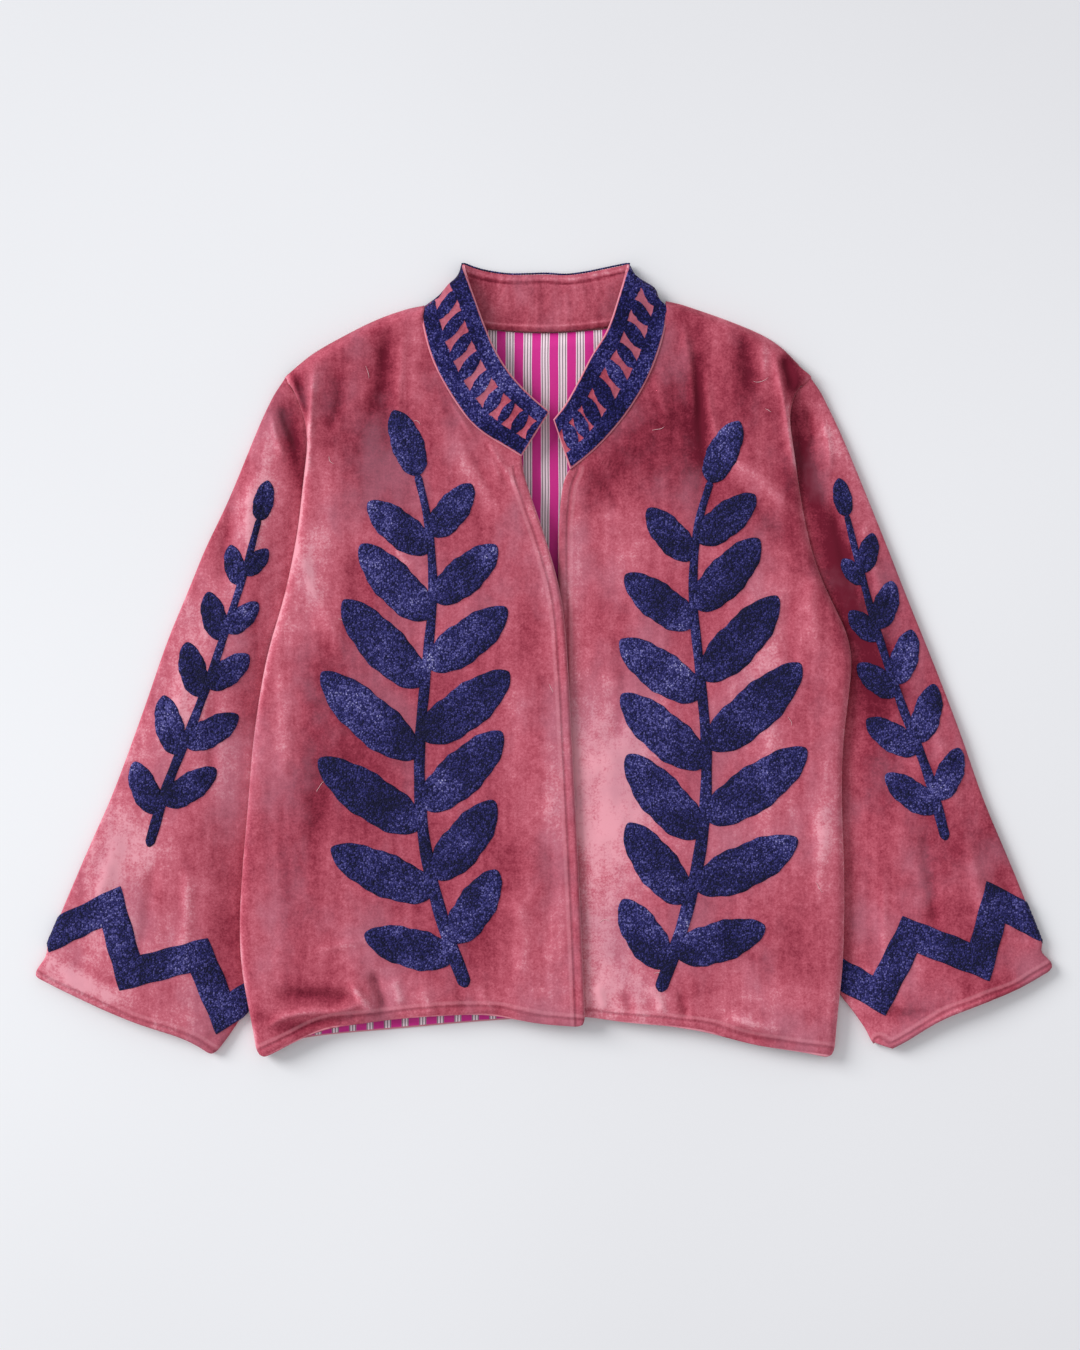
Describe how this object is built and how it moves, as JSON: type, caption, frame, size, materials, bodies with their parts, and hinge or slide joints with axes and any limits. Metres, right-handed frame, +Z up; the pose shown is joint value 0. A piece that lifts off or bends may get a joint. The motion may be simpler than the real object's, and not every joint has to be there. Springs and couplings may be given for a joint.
{
  "type": "velvet jacket",
  "caption": "Hip-length velvet jacket with wide sleeves, a band collar with a stitched border, an open lapped front and a striped lining, laid flat and face up.",
  "frame": {"origin": "middle of the overall box in plan, on the surface that the jacket lies on", "axes": "+X towards the wearer's left sleeve, +Y from the hem to the collar, +Z up out of the front"},
  "size_m": [0.9214, 0.7151, 0.0207],
  "materials": {
    "velvet": "short worn cotton pile, dusty rose, with a soft sheen",
    "velvet_with_stitched_band": "the same pile, nearly covered with navy chain stitch",
    "striped_lining": "smooth plain weave, magenta and white stripes with thin dark lines"
  },
  "bodies": {
    "root": {"back": "velvet", "back_lining": "striped_lining", "front_right": "velvet", "front_left": "velvet", "sleeve_right": "velvet", "sleeve_left": "velvet", "collar": "velvet_with_stitched_band"}
  },
  "joints": []
}
